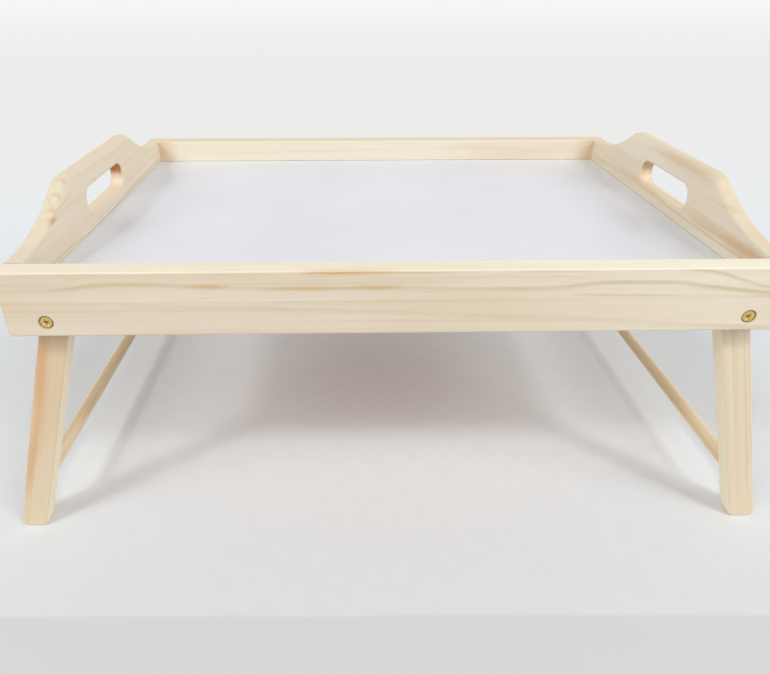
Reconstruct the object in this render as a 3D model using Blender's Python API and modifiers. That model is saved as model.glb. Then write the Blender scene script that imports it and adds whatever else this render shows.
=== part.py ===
"""Folding leg tray: a framed serving tray on two pairs of legs that fold flat beneath its panel.

The tray is modelled open, as it is used. X runs along its length, Y from its front to its
back and Z up, and the origin lies on the floor under the middle of the tray. Lengths are in
metres and angles in radians.
"""

import math

import bmesh
import bpy

OBJECT_NAME = "folding_leg_tray"
SIDES = {"left": -1, "right": 1}
ENDS = {"front": -1, "back": 1}

# Tray frame
TRAY_LENGTH = 0.500
TRAY_DEPTH = 0.350
RAIL_HEIGHT = 0.0448
RAIL_THICKNESS = 0.0150
BOARD_THICKNESS = 0.0120
EDGE_ROUND = 0.0014

# Handle cut in the top of each end board
HANDLE_RISE = 0.0295
HANDLE_OFFSET = -0.0027
GRIP_HALF_LENGTH = 0.0702
RAMP_ANGLE = math.radians(32.0)
COVE_RADIUS = 0.135
SHOULDER_RADIUS = 0.028
GRIP_ROUND = 0.0048
SLOT_LENGTH = 0.0855
SLOT_HEIGHT = 0.0205
SLOT_LIFT = 0.0005
SLOT_ROUND = 0.0020

# Panel let into a groove all round the frame
PANEL_THICKNESS = 0.0025
PANEL_BITE = 0.0050

# Glued dowels in the four corners of the frame
PEG_RADIUS = 0.0030
PEG_IN_RAIL = 0.0100
PEG_IN_BOARD = 0.0200
PEG_CHAMFER = 0.0005

# Legs
STANDING_HEIGHT = 0.1857
LEG_WIDTH = 0.0200
LEG_THICKNESS = 0.0132
LEG_SPLAY = math.radians(17.6)
LEG_ROUND = 0.0015
FOOT_OUTER_RADIUS = 0.0055
FOOT_INNER_RADIUS = 0.0050

# Dowel that joins the two legs of a pair
CROSSBAR_RADIUS = 0.0055
CROSSBAR_DROP = 0.1645
CROSSBAR_SOCKET = 0.0080
CROSSBAR_CHAMFER = 0.0006

# Countersunk pivot screw
SCREW_RADIUS = 0.0020
SCREW_HEAD_RADIUS = 0.0044
SCREW_DOME = 0.0003
DOME_SHOULDER_SHARES = (0.5, 0.75)
SCREW_LENGTH = 0.0250
SCREW_TIP = 0.0035
SCREW_SINK = 0.0005
RECESS_LENGTH = 0.0050
RECESS_WIDTH = 0.0010
RECESS_DEPTH = 0.0015

# Clearances
JOINT_GAP = 0.0003
FOLD_CLEARANCE = 0.0003
LEG_GAP = 0.0005
CUT_OVERRUN = 0.0020
WELD_DISTANCE = 0.00001

# Facets: how far a chord may lie from its arc, and the counts of the other curves
ARC_TOLERANCE = 0.00003
ROUND_SEGMENTS = 3
GRIP_SEGMENTS = 4
PEG_SIDES = 16
BAR_SIDES = 32
SCREW_SIDES = 28

# Angles between two faces: one plane, shaded as an edge, and rounded over as an edge
FLAT_ANGLE = math.radians(0.5)
SHARP_ANGLE = math.radians(40.0)
CORNER_ANGLE = math.radians(50.0)

# Places that follow from the sizes above
RAIL_BOTTOM = STANDING_HEIGHT
RAIL_TOP = RAIL_BOTTOM + RAIL_HEIGHT
RAIL_CENTRE_Y = (TRAY_DEPTH - RAIL_THICKNESS) / 2
RAIL_INNER_Y = TRAY_DEPTH / 2 - RAIL_THICKNESS
BOARD_CENTRE_X = (TRAY_LENGTH - BOARD_THICKNESS) / 2
BOARD_INNER_X = TRAY_LENGTH / 2 - BOARD_THICKNESS
BOARD_HALF_LENGTH = RAIL_INNER_Y - JOINT_GAP

# A folded leg lies just inside the rails, between their lower edge and the panel
PIVOT_Z = RAIL_BOTTOM + FOLD_CLEARANCE + LEG_WIDTH / 2
PANEL_BOTTOM = PIVOT_Z + LEG_WIDTH / 2 + FOLD_CLEARANCE
PANEL_CENTRE_Z = PANEL_BOTTOM + PANEL_THICKNESS / 2
GROOVE_HEIGHT = PANEL_THICKNESS + 2 * JOINT_GAP
GROOVE_DEPTH = PANEL_BITE + JOINT_GAP

# An open leg leans on the rounded lower inner edge of the end board
STOP_REACH = LEG_WIDTH / 2 + JOINT_GAP + EDGE_ROUND
STOP_X = BOARD_INNER_X + EDGE_ROUND
STOP_DROP = PIVOT_Z - RAIL_BOTTOM - EDGE_ROUND
PIVOT_X = STOP_X - (STOP_REACH + STOP_DROP * math.sin(LEG_SPLAY)) / math.cos(LEG_SPLAY)
LEG_OUTER_Y = RAIL_INNER_Y - LEG_GAP
LEG_CENTRE_Y = LEG_OUTER_Y - LEG_THICKNESS / 2
LEG_INNER_Y = LEG_OUTER_Y - LEG_THICKNESS

# The pegs sit midway between the groove and the lower and upper edges of the rail
GROOVE_BOTTOM = PANEL_CENTRE_Z - GROOVE_HEIGHT / 2
GROOVE_TOP = PANEL_CENTRE_Z + GROOVE_HEIGHT / 2
PEG_HEIGHTS = {
    "lower": (RAIL_BOTTOM + GROOVE_BOTTOM) / 2,
    "upper": (GROOVE_TOP + RAIL_TOP) / 2,
}

# Colour, roughness and metallic value of each finish
FINISHES = {
    "rail_pine": ((0.80, 0.67, 0.48), 0.55, 0.0),
    "board_pine": ((0.77, 0.63, 0.43), 0.55, 0.0),
    "leg_pine": ((0.74, 0.56, 0.36), 0.55, 0.0),
    "dowel_wood": ((0.70, 0.50, 0.30), 0.60, 0.0),
    "white_laminate": ((0.80, 0.81, 0.83), 0.25, 0.0),
    "brass": ((0.72, 0.52, 0.20), 0.30, 1.0),
}


def clear_scene():
    """Remove every object of the scene."""
    for obj in list(bpy.data.objects):
        bpy.data.objects.remove(obj)


def new_collection(name):
    """Add a collection to the scene."""
    collection = bpy.data.collections.new(name)
    bpy.context.scene.collection.children.link(collection)
    return collection


def new_material(name, colour, roughness, metallic):
    """Make one plain Principled material."""
    material = bpy.data.materials.new(name)
    material.use_nodes = True
    material.diffuse_color = (*colour, 1.0)
    shader = material.node_tree.nodes["Principled BSDF"]
    shader.inputs["Base Color"].default_value = (*colour, 1.0)
    shader.inputs["Roughness"].default_value = roughness
    shader.inputs["Metallic"].default_value = metallic
    return material


def mesh_object(name, bm, collection):
    """Turn a bmesh into an object of a collection."""
    mesh = bpy.data.meshes.new(name)
    bm.to_mesh(mesh)
    bm.free()
    obj = bpy.data.objects.new(name, mesh)
    collection.objects.link(obj)
    return obj


def box(name, size, collection):
    """A box centred on its origin."""
    bm = bmesh.new()
    bmesh.ops.create_cube(bm, size=1.0)
    bmesh.ops.scale(bm, vec=size, verts=bm.verts)
    return mesh_object(name, bm, collection)


def cylinder(name, radius, length, sides, collection):
    """A closed cylinder along its own Z, centred on its origin."""
    bm = bmesh.new()
    bmesh.ops.create_cone(
        bm, cap_ends=True, segments=sides, radius1=radius, radius2=radius, depth=length
    )
    obj = mesh_object(name, bm, collection)
    shade_round(obj)
    return obj


def prism(name, outlines, thickness, collection, seam_x=None):
    """A flat outline in the local XY plane, with a hole for each further outline, made thick.

    A face has only one border, so a piece with a hole takes the place along X of a seam that
    crosses the hole and halves its flat faces.
    """
    curve = bpy.data.curves.new(name, "CURVE")
    curve.dimensions = "2D"
    curve.fill_mode = "BOTH"
    curve.extrude = thickness / 2
    for outline in outlines:
        spline = curve.splines.new("POLY")
        spline.points.add(len(outline) - 1)
        for point, (x, y) in zip(spline.points, outline):
            point.co = (x, y, 0.0, 1.0)
        spline.use_cyclic_u = True
    source = bpy.data.objects.new(name + "_outline", curve)
    collection.objects.link(source)
    depsgraph = bpy.context.evaluated_depsgraph_get()
    mesh = bpy.data.meshes.new_from_object(source.evaluated_get(depsgraph))
    obj = bpy.data.objects.new(name, mesh)
    obj.matrix_world = source.matrix_world.copy()
    collection.objects.link(obj)
    bpy.data.objects.remove(source)

    bm = bmesh.new()
    bm.from_mesh(mesh)
    bmesh.ops.remove_doubles(bm, verts=bm.verts, dist=WELD_DISTANCE)
    seam = set()
    if seam_x is not None:
        everything = [*bm.verts, *bm.edges, *bm.faces]
        place = {"plane_co": (seam_x, 0.0, 0.0), "plane_no": (1.0, 0.0, 0.0)}
        seam.update(bmesh.ops.bisect_plane(bm, geom=everything, dist=WELD_DISTANCE, **place)["geom_cut"])
    loose_edges = [edge for edge in bm.edges if edge not in seam]
    bmesh.ops.dissolve_limit(bm, angle_limit=FLAT_ANGLE, verts=bm.verts, edges=loose_edges)
    bmesh.ops.recalc_face_normals(bm, faces=bm.faces)
    bm.to_mesh(mesh)
    bm.free()
    return obj


def turned(name, profile, sides, collection):
    """A profile of (radius, height) points, from its top to its bottom, turned about Z."""
    bm = bmesh.new()
    points = [bm.verts.new((radius, 0.0, height)) for radius, height in profile]
    for start, end in zip(points, points[1:]):
        bm.edges.new((start, end))
    obj = mesh_object(name, bm, collection)
    screw = obj.modifiers.new("Turn", "SCREW")
    screw.axis = "Z"
    screw.angle = math.tau
    screw.steps = sides
    screw.render_steps = sides
    screw.use_merge_vertices = True
    screw.merge_threshold = WELD_DISTANCE
    screw.use_smooth_shade = True
    return obj


def shade_round(obj):
    """Shade a round piece smooth, with its rims left sharp."""
    obj.data.shade_smooth()
    obj.data.set_sharp_from_angle(angle=SHARP_ANGLE)


def round_edges(obj, width, segments, method="ANGLE"):
    """Round the edges of a piece: all its corners, or those with a bevel weight."""
    bevel = obj.modifiers.new("Rounded edges", "BEVEL")
    bevel.width = width
    bevel.segments = segments
    bevel.limit_method = method
    bevel.angle_limit = CORNER_ANGLE
    bevel.use_clamp_overlap = False


def cut(obj, cutter):
    """Take the cutter's shape out of a piece."""
    boolean = obj.modifiers.new(cutter.name, "BOOLEAN")
    boolean.operation = "DIFFERENCE"
    boolean.solver = "EXACT"
    boolean.object = cutter
    cutter.hide_render = True
    cutter.display_type = "WIRE"


def finish(obj, material):
    """Give a piece its material."""
    obj.data.materials.clear()
    obj.data.materials.append(material)


def arc_steps(radius, sweep):
    """How many chords an arc needs to stay within the tolerance."""
    chord_angle = 2 * math.acos(1 - ARC_TOLERANCE / radius)
    return math.ceil(sweep / chord_angle)


def rounded_outline(corners):
    """The outline through corners given as (x, y, fillet radius), with an arc at each fillet."""
    points = []
    count = len(corners)
    for index, (x, y, radius) in enumerate(corners):
        if radius == 0.0:
            points.append((x, y))
            continue
        before = corners[index - 1]
        after = corners[(index + 1) % count]
        angle_in = math.atan2(before[1] - y, before[0] - x)
        angle_out = math.atan2(after[1] - y, after[0] - x)
        half = ((angle_out - angle_in + math.pi) % math.tau - math.pi) / 2
        tangent = radius / math.tan(abs(half))
        to_centre = radius / math.sin(abs(half))
        middle = angle_in + half
        centre_x = x + to_centre * math.cos(middle)
        centre_y = y + to_centre * math.sin(middle)
        start_x = x + tangent * math.cos(angle_in)
        start_y = y + tangent * math.sin(angle_in)
        start = math.atan2(start_y - centre_y, start_x - centre_x)
        sweep = math.copysign(math.pi - 2 * abs(half), -half)
        steps = arc_steps(radius, abs(sweep))
        for step in range(steps + 1):
            turn = start + sweep * step / steps
            points.append((centre_x + radius * math.cos(turn), centre_y + radius * math.sin(turn)))
    kept = []
    for point in points:
        if not kept or math.dist(point, kept[-1]) > WELD_DISTANCE:
            kept.append(point)
    if math.dist(kept[0], kept[-1]) <= WELD_DISTANCE:
        kept.pop()
    return kept


def make_rail(name, end, parts, cutters, material):
    """A long rail with its groove, its screw holes and the holes of its pegs."""
    rail = box(name, (TRAY_LENGTH, RAIL_THICKNESS, RAIL_HEIGHT), parts)
    rail.location = (0.0, end * RAIL_CENTRE_Y, RAIL_BOTTOM + RAIL_HEIGHT / 2)
    round_edges(rail, EDGE_ROUND, ROUND_SEGMENTS)

    groove_length = 2 * (BOARD_INNER_X + GROOVE_DEPTH)
    groove = box(name + "_groove", (groove_length, 2 * GROOVE_DEPTH, GROOVE_HEIGHT), cutters)
    groove.location = (0.0, end * RAIL_INNER_Y, PANEL_CENTRE_Z)
    cut(rail, groove)

    for side_name, side in SIDES.items():
        hole = screw_hole(f"{name}_{side_name}_screw_hole", cutters)
        hole.location = (side * PIVOT_X, end * (TRAY_DEPTH / 2 - SCREW_SINK), PIVOT_Z)
        hole.rotation_euler = (-end * math.pi / 2, 0.0, 0.0)
        cut(rail, hole)
        for level, height in PEG_HEIGHTS.items():
            cut(rail, peg_hole(f"{name}_{side_name}_{level}_peg_hole", side, end, height, cutters))
    finish(rail, material)
    return rail


def peg_hole(name, side, end, height, cutters):
    """The cutter for one peg, long enough for both the rail and the end board."""
    length = PEG_IN_RAIL + JOINT_GAP + PEG_IN_BOARD + 2 * JOINT_GAP
    hole = cylinder(name, PEG_RADIUS + JOINT_GAP, length, PEG_SIDES, cutters)
    hole.rotation_euler = (math.pi / 2, 0.0, 0.0)
    hole.location = (side * BOARD_CENTRE_X, end * peg_centre_y(), height)
    return hole


def peg_centre_y():
    """How far from the middle of the tray the middle of a peg lies."""
    outer = RAIL_INNER_Y + PEG_IN_RAIL
    inner = BOARD_HALF_LENGTH - PEG_IN_BOARD
    return (outer + inner) / 2


def make_peg(name, side, end, height, parts, material):
    """One glued dowel across a corner joint."""
    length = PEG_IN_RAIL + JOINT_GAP + PEG_IN_BOARD
    peg = cylinder(name, PEG_RADIUS, length, PEG_SIDES, parts)
    peg.rotation_euler = (math.pi / 2, 0.0, 0.0)
    peg.location = (side * BOARD_CENTRE_X, end * peg_centre_y(), height)
    round_edges(peg, PEG_CHAMFER, 1)
    finish(peg, material)
    return peg


def board_outline():
    """The end board seen from the end, as (Y, Z) points, with its raised handle."""
    slope = HANDLE_RISE / math.sin(RAMP_ANGLE)
    half_turn = math.tan(RAMP_ANGLE / 2)
    foot_y = GRIP_HALF_LENGTH + HANDLE_RISE / math.tan(RAMP_ANGLE)
    level_end = BOARD_HALF_LENGTH - abs(HANDLE_OFFSET) - foot_y
    shoulder = min(SHOULDER_RADIUS, slope / 2 / half_turn)
    cove = min(COVE_RADIUS, slope / half_turn - shoulder, level_end / half_turn)
    top = RAIL_TOP + HANDLE_RISE
    corners = [
        (-BOARD_HALF_LENGTH, RAIL_BOTTOM, 0.0),
        (BOARD_HALF_LENGTH, RAIL_BOTTOM, 0.0),
        (BOARD_HALF_LENGTH, RAIL_TOP, 0.0),
        (HANDLE_OFFSET + foot_y, RAIL_TOP, cove),
        (HANDLE_OFFSET + GRIP_HALF_LENGTH, top, shoulder),
        (HANDLE_OFFSET - GRIP_HALF_LENGTH, top, shoulder),
        (HANDLE_OFFSET - foot_y, RAIL_TOP, cove),
        (-BOARD_HALF_LENGTH, RAIL_TOP, 0.0),
    ]
    return rounded_outline(corners)


def slot_outline():
    """The handle slot as (Y, Z) points, with half-round ends."""
    half_length = SLOT_LENGTH / 2
    half_height = SLOT_HEIGHT / 2
    middle = RAIL_TOP + SLOT_LIFT
    corners = [
        (HANDLE_OFFSET - half_length, middle - half_height, half_height),
        (HANDLE_OFFSET + half_length, middle - half_height, half_height),
        (HANDLE_OFFSET + half_length, middle + half_height, half_height),
        (HANDLE_OFFSET - half_length, middle + half_height, half_height),
    ]
    return rounded_outline(corners)


def weigh_board_edges(board):
    """Say how far each long edge rounds over: more and more up the handle, evenly in the slot."""
    bm = bmesh.new()
    bm.from_mesh(board.data)
    weights = bm.edges.layers.float.new("bevel_weight_edge")
    for edge in bm.edges:
        start, end = (vert.co for vert in edge.verts)
        middle = (start + end) / 2
        across_thickness = abs(start.z - end.z) > WELD_DISTANCE
        against_rail = abs(abs(middle.x) - BOARD_HALF_LENGTH) < WELD_DISTANCE
        if across_thickness or against_rail or edge.calc_face_angle() < CORNER_ANGLE:
            continue
        height = middle.y - RAIL_TOP
        beside_slot = abs(middle.x - HANDLE_OFFSET) > SLOT_LENGTH / 2 + WELD_DISTANCE
        if not beside_slot and abs(height - SLOT_LIFT) < SLOT_HEIGHT:
            width = SLOT_ROUND
        else:
            width = EDGE_ROUND + (GRIP_ROUND - EDGE_ROUND) * max(0.0, height) / HANDLE_RISE
        edge[weights] = width / GRIP_ROUND
    bm.to_mesh(board.data)
    bm.free()


def make_end_board(name, side, parts, cutters, material):
    """An end board with its shaped top, hand slot, panel groove and peg holes."""
    outlines = [board_outline(), slot_outline()]
    board = prism(name, outlines, BOARD_THICKNESS, parts, seam_x=HANDLE_OFFSET)
    board.location = (side * BOARD_CENTRE_X, 0.0, 0.0)
    board.rotation_euler = (math.pi / 2, 0.0, math.pi / 2)
    weigh_board_edges(board)
    round_edges(board, GRIP_ROUND, GRIP_SEGMENTS, method="WEIGHT")

    groove_length = 2 * (BOARD_HALF_LENGTH + CUT_OVERRUN)
    groove = box(name + "_groove", (2 * GROOVE_DEPTH, groove_length, GROOVE_HEIGHT), cutters)
    groove.location = (side * BOARD_INNER_X, 0.0, PANEL_CENTRE_Z)
    cut(board, groove)
    for end_name, end in ENDS.items():
        for level, height in PEG_HEIGHTS.items():
            cut(board, peg_hole(f"{name}_{end_name}_{level}_peg_hole", side, end, height, cutters))
    finish(board, material)
    return board


def make_panel(parts, material):
    """The panel that closes the tray's floor, held in the grooves on all four sides."""
    length = 2 * (BOARD_INNER_X + PANEL_BITE)
    depth = 2 * (RAIL_INNER_Y + PANEL_BITE)
    panel = box("serving_panel", (length, depth, PANEL_THICKNESS), parts)
    panel.location = (0.0, 0.0, PANEL_CENTRE_Z)
    finish(panel, material)
    return panel


def make_hinge(name, side, parts):
    """The pivot axis of one pair of legs, turned so that its own -Z points down the legs."""
    hinge = bpy.data.objects.new(name, None)
    hinge.empty_display_size = LEG_WIDTH
    hinge.location = (side * PIVOT_X, 0.0, PIVOT_Z)
    hinge.rotation_euler = (0.0, -side * LEG_SPLAY, 0.0)
    parts.objects.link(hinge)
    return hinge


def leg_outline(side):
    """A leg in its hinge's XZ plane, round at the pivot and cut level with the floor."""
    half = LEG_WIDTH / 2
    reach = PIVOT_Z / math.cos(LEG_SPLAY)
    slant = half * math.tan(LEG_SPLAY)
    corners = [
        (-half, half, half),
        (half, half, half),
        (half, -reach - slant, FOOT_OUTER_RADIUS),
        (-half, -reach + slant, FOOT_INNER_RADIUS),
    ]
    return [(side * x, z) for x, z in rounded_outline(corners)]


def make_leg(name, side, end, hinge, parts, cutters, material):
    """One leg, with the blind holes for its pivot screw and for the crossbar."""
    leg = prism(name, [leg_outline(side)], LEG_THICKNESS, parts)
    leg.parent = hinge
    leg.location = (0.0, end * LEG_CENTRE_Y, 0.0)
    leg.rotation_euler = (math.pi / 2, 0.0, 0.0)
    round_edges(leg, LEG_ROUND, ROUND_SEGMENTS)

    screw_depth = SCREW_LENGTH + SCREW_SINK - RAIL_THICKNESS - LEG_GAP + JOINT_GAP
    pilot_length = screw_depth + CUT_OVERRUN
    pilot = cylinder(name + "_pilot", SCREW_RADIUS + JOINT_GAP, pilot_length, PEG_SIDES, cutters)
    pilot.parent = hinge
    pilot.location = (0.0, end * (LEG_OUTER_Y + CUT_OVERRUN - pilot_length / 2), 0.0)
    pilot.rotation_euler = (math.pi / 2, 0.0, 0.0)
    cut(leg, pilot)

    socket_length = CROSSBAR_SOCKET + JOINT_GAP + CUT_OVERRUN
    socket_radius = CROSSBAR_RADIUS + JOINT_GAP
    socket = cylinder(name + "_socket", socket_radius, socket_length, BAR_SIDES, cutters)
    socket.parent = hinge
    socket_y = LEG_INNER_Y - CUT_OVERRUN + socket_length / 2
    socket.location = (0.0, end * socket_y, -CROSSBAR_DROP)
    socket.rotation_euler = (math.pi / 2, 0.0, 0.0)
    cut(leg, socket)
    finish(leg, material)
    return leg


def make_crossbar(name, hinge, parts, material):
    """The round bar that ties the two legs of a pair."""
    length = 2 * (LEG_INNER_Y + CROSSBAR_SOCKET)
    bar = cylinder(name, CROSSBAR_RADIUS, length, BAR_SIDES, parts)
    bar.parent = hinge
    bar.location = (0.0, 0.0, -CROSSBAR_DROP)
    bar.rotation_euler = (math.pi / 2, 0.0, 0.0)
    round_edges(bar, CROSSBAR_CHAMFER, 1)
    finish(bar, material)
    return bar


def screw_hole(name, cutters):
    """The cutter for a screw: its 45 degree countersink and the hole through the rail."""
    mouth = SCREW_HEAD_RADIUS + JOINT_GAP * math.sqrt(2.0)
    throat = SCREW_RADIUS + JOINT_GAP
    profile = [
        (0.0, CUT_OVERRUN),
        (mouth, CUT_OVERRUN),
        (mouth, 0.0),
        (throat, throat - mouth),
        (throat, -RAIL_THICKNESS - CUT_OVERRUN),
        (0.0, -RAIL_THICKNESS - CUT_OVERRUN),
    ]
    return turned(name, profile, SCREW_SIDES, cutters)


def make_screw(name, end, hinge, parts, cutters, material):
    """A countersunk pivot screw with a cross recess, its head just below the rail's face."""
    cone = SCREW_HEAD_RADIUS - SCREW_RADIUS
    shoulder_out, shoulder_up = DOME_SHOULDER_SHARES
    profile = [
        (0.0, SCREW_DOME),
        (SCREW_HEAD_RADIUS * shoulder_out, SCREW_DOME * shoulder_up),
        (SCREW_HEAD_RADIUS, 0.0),
        (SCREW_RADIUS, -cone),
        (SCREW_RADIUS, -SCREW_LENGTH + SCREW_TIP),
        (0.0, -SCREW_LENGTH),
    ]
    screw = turned(name, profile, SCREW_SIDES, parts)
    screw.parent = hinge
    screw.location = (0.0, end * (TRAY_DEPTH / 2 - SCREW_SINK), 0.0)
    screw.rotation_euler = (-end * math.pi / 2, 0.0, 0.0)

    arms = {
        "long_arm": (RECESS_LENGTH, RECESS_WIDTH, 2 * RECESS_DEPTH),
        "cross_arm": (RECESS_WIDTH, RECESS_LENGTH, 2 * RECESS_DEPTH),
    }
    for arm_name, size in arms.items():
        arm = box(f"{name}_{arm_name}", size, cutters)
        arm.parent = hinge
        arm.location = screw.location
        arm.rotation_euler = screw.rotation_euler
        cut(screw, arm)
    finish(screw, material)
    return screw


def build():
    """Build the whole tray."""
    clear_scene()
    parts = new_collection(OBJECT_NAME)
    cutters = new_collection("cutters")
    materials = {name: new_material(name, *finish_values) for name, finish_values in FINISHES.items()}

    for end_name, end in ENDS.items():
        make_rail(f"{end_name}_rail", end, parts, cutters, materials["rail_pine"])
    for side_name, side in SIDES.items():
        make_end_board(f"{side_name}_end_board", side, parts, cutters, materials["board_pine"])
    make_panel(parts, materials["white_laminate"])

    for side_name, side in SIDES.items():
        for end_name, end in ENDS.items():
            for level, height in PEG_HEIGHTS.items():
                peg_name = f"{side_name}_{end_name}_{level}_dowel"
                make_peg(peg_name, side, end, height, parts, materials["dowel_wood"])

    for side_name, side in SIDES.items():
        hinge = make_hinge(f"{side_name}_leg_hinge", side, parts)
        for end_name, end in ENDS.items():
            corner = f"{side_name}_{end_name}"
            make_leg(f"{corner}_leg", side, end, hinge, parts, cutters, materials["leg_pine"])
            make_screw(f"{corner}_pivot_screw", end, hinge, parts, cutters, materials["brass"])
        make_crossbar(f"{side_name}_crossbar", hinge, parts, materials["dowel_wood"])


build()
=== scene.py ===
"""Looks of the folding leg tray: pine frame and legs, white panel, brass screws, pale studio."""

import math

import bmesh
import bpy
from bpy.props import FloatProperty, FloatVectorProperty, PointerProperty
from bpy.types import Operator, Panel, PropertyGroup
from mathutils import Matrix, Vector


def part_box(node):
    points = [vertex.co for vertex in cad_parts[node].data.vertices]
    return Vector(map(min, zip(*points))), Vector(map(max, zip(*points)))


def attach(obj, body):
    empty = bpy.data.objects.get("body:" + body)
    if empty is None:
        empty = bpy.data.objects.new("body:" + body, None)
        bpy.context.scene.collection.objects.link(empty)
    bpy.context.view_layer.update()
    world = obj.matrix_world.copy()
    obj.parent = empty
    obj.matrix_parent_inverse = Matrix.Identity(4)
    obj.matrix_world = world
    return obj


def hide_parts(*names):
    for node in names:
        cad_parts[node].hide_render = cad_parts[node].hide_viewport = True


bl_info = {
    "name": "Folding Leg Tray Looks",
    "version": (1, 0, 0),
    "blender": (4, 5, 0),
    "location": "View3D > Sidebar > Tray",
    "description": "Dresses the folding leg tray in pine, white panel and brass, and sets its stage",
    "category": "Object",
}

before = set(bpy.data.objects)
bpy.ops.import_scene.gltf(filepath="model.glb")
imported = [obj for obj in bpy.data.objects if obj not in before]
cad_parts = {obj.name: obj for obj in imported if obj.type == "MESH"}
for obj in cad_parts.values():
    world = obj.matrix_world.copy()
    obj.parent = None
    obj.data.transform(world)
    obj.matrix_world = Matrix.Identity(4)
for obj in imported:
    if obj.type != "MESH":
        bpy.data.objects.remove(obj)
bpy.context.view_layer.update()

MM = 0.001
SIDES = {"left": -1, "right": 1}
ENDS = {"front": -1, "back": 1}

# Directions of a plank: its X runs along the grain, its Y across the width, its Z through it
RAIL_AXES = ((1, 0, 0), (0, 0, 1), (0, -1, 0))
BOARD_AXES = ((0, 1, 0), (0, 0, 1), (1, 0, 0))
LEG_SPLAY = math.radians(17.6)


def box_centre(node):
    """The middle of a CAD node's box, in metres."""
    low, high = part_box(node)
    return (low + high) / 2


def half_size(node):
    """Half the size of a CAD node's box along X, Y and Z, in mm."""
    low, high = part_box(node)
    return (high - low) / 2 / MM


# A rail's half height, and how far the faces of a rail and an end board lie from its middle, in mm
RAIL_HALF_HEIGHT = half_size("front_rail").z
RAIL_FACE = half_size("front_rail").y
BOARD_FACE = half_size("left_end_board").x


def srgb(red, green, blue):
    """A colour as a linear triple, from its screen values of 0 to 255."""
    def linear(value):
        part = value / 255
        return part / 12.92 if part <= 0.04045 else ((part + 0.055) / 1.055) ** 2.4
    return (linear(red), linear(green), linear(blue))


# Settings

def colour(name, description, red, green, blue):
    """A colour setting, its default given in screen values."""
    return FloatVectorProperty(
        name=name, description=description, subtype="COLOR", size=3, min=0.0, max=1.0,
        default=srgb(red, green, blue),
    )


def share(name, description, value):
    """A setting between nothing and all."""
    return FloatProperty(name=name, description=description, subtype="FACTOR", min=0.0, max=1.0,
                         default=value)


def length(name, description, millimetres):
    """A length setting, its default given in millimetres."""
    return FloatProperty(name=name, description=description, unit="LENGTH", min=0.0,
                         default=millimetres * MM)


def brightness(name, description, value):
    """How strong a lamp or wall is."""
    return FloatProperty(name=name, description=description, min=0.0, soft_max=3.0, default=value)


def angle(name, description, degrees):
    """An angle setting, its default given in degrees."""
    return FloatProperty(name=name, description=description, subtype="ANGLE", min=0.0, max=math.pi / 2,
                         default=math.radians(degrees))


class TRAY_PG_frame_wood(PropertyGroup):
    """Pine of the rails and end boards."""

    pale: colour("Pale wood", "Early wood, the palest part of a ring", 229, 217, 197)
    warm: colour("Warm wood", "Broad warmer patches", 222, 205, 180)
    sap: colour("Sap wood", "Palest planks, from the outside of the log", 243, 237, 217)
    late: colour("Late wood", "Dark line at the end of each ring", 206, 183, 147)
    line: colour("Grain line", "The few broad lines on the frame", 206, 188, 150)
    resin: colour("Resin", "Orange streaks of resin", 208, 163, 110)
    end: colour("End grain", "Wood cut across its grain", 196, 162, 118)
    # Colour of the router burn and painted shade in the ends of the left hand slot
    burn: colour("Router burn", "Dark wood in the ends of the hand slots", 184, 98, 30)
    spacing: length("Ring spacing", "From one ring to the next", 8.5)
    rings: share("Ring strength", "How far the rings show on the faces", 0.32)
    fibres: share("Fibre strength", "How far the fine fibres show", 0.5)


class TRAY_PG_leg_wood(PropertyGroup):
    """Pine of the legs, a little deeper in colour than the frame."""

    pale: colour("Pale wood", "Early wood, the palest part of a ring", 231, 215, 189)
    warm: colour("Warm wood", "Broad warmer patches", 222, 200, 168)
    # Colour of the painted light on the legs' inner sides
    sap: colour("Sap wood", "Palest wood, on the inner sides of the legs", 247, 237, 210)
    late: colour("Late wood", "Dark line at the end of each ring", 205, 181, 138)
    resin: colour("Heart wood", "Orange streaks down a leg", 214, 170, 124)
    end: colour("End grain", "Wood cut across its grain", 190, 156, 112)
    spacing: length("Ring spacing", "From one ring to the next", 3.4)
    rings: share("Ring strength", "How far the rings show on the faces", 0.45)
    fibres: share("Fibre strength", "How far the fine fibres show", 0.55)


class TRAY_PG_bar_wood(PropertyGroup):
    """Wood of the two crossbars and of the hidden corner dowels."""

    pale: colour("Pale wood", "Early wood", 234, 219, 188)
    warm: colour("Warm wood", "Broad warmer patches", 226, 206, 170)
    late: colour("Late wood", "Dark line at the end of each ring", 200, 172, 130)
    resin: colour("Heart wood", "Darker streaks along a bar", 206, 177, 136)
    end: colour("End grain", "Wood cut across its grain", 180, 144, 100)
    spacing: length("Ring spacing", "From one ring to the next", 2.2)
    rings: share("Ring strength", "How far the rings show", 0.5)
    fibres: share("Fibre strength", "How far the fine fibres show", 0.7)


class TRAY_PG_panel(PropertyGroup):
    """White facing and bare underside of the serving panel."""

    white: colour("White facing", "Smooth coating of the serving face", 220, 222, 228)
    mottle: colour("Mottle", "Faint clouding of the coating", 216, 218, 224)
    board: colour("Bare board", "Hardboard seen from below", 196, 134, 58)
    fleck: colour("Board fibre", "Dark fibres pressed into the hardboard", 150, 100, 50)
    roughness: share("Facing roughness", "Roughness of the white facing", 0.24)


class TRAY_PG_screws(PropertyGroup):
    """Brass screws that the legs turn on."""

    brass: colour("Brass", "Bright plating on the head", 240, 214, 140)
    tarnish: colour("Tarnish", "Darker brass in the recess and round the rim", 128, 94, 42)
    arm: length("Recess arm", "From the middle of the cross to its end", 2.45)
    width: length("Recess width", "Width of an arm at the face", 1.0)
    depth: length("Recess depth", "Depth of the cross in its middle", 1.1)


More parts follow.
